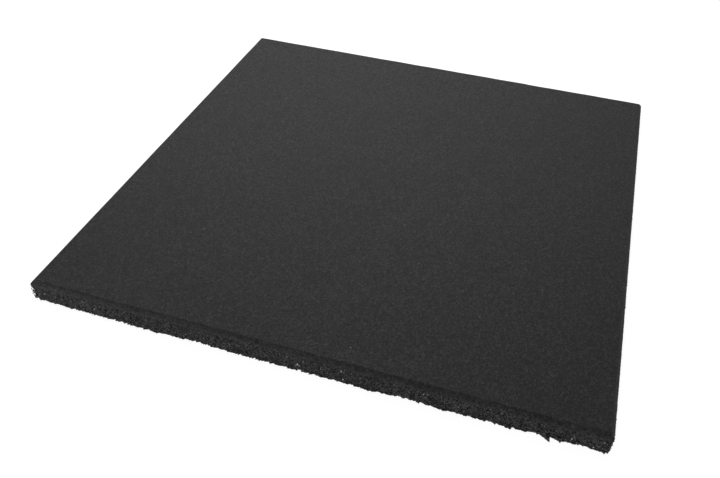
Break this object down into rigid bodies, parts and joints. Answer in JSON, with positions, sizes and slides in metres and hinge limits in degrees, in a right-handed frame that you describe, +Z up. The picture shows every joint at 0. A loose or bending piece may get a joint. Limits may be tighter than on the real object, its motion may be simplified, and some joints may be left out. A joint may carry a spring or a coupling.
{
  "type": "rubber gym floor tile",
  "caption": "Square floor tile pressed from bonded black rubber granulate, with a fine level top, a narrow bevel round it and upright crumb sides.",
  "frame": {"origin": "centre of the underside, where the tile rests on the floor", "axes": "+Z up out of the top face, +X along the length and +Y along the width, each square to a butt face"},
  "size_m": [0.5, 0.5, 0.02],
  "materials": {
    "rubber_granulate": "matte near-black bonded rubber: a fine grain with sparse pale specks on top, coarse crumb with small voids on the sides and the underside"
  },
  "bodies": {
    "root": {"tile": "rubber_granulate"}
  },
  "joints": []
}
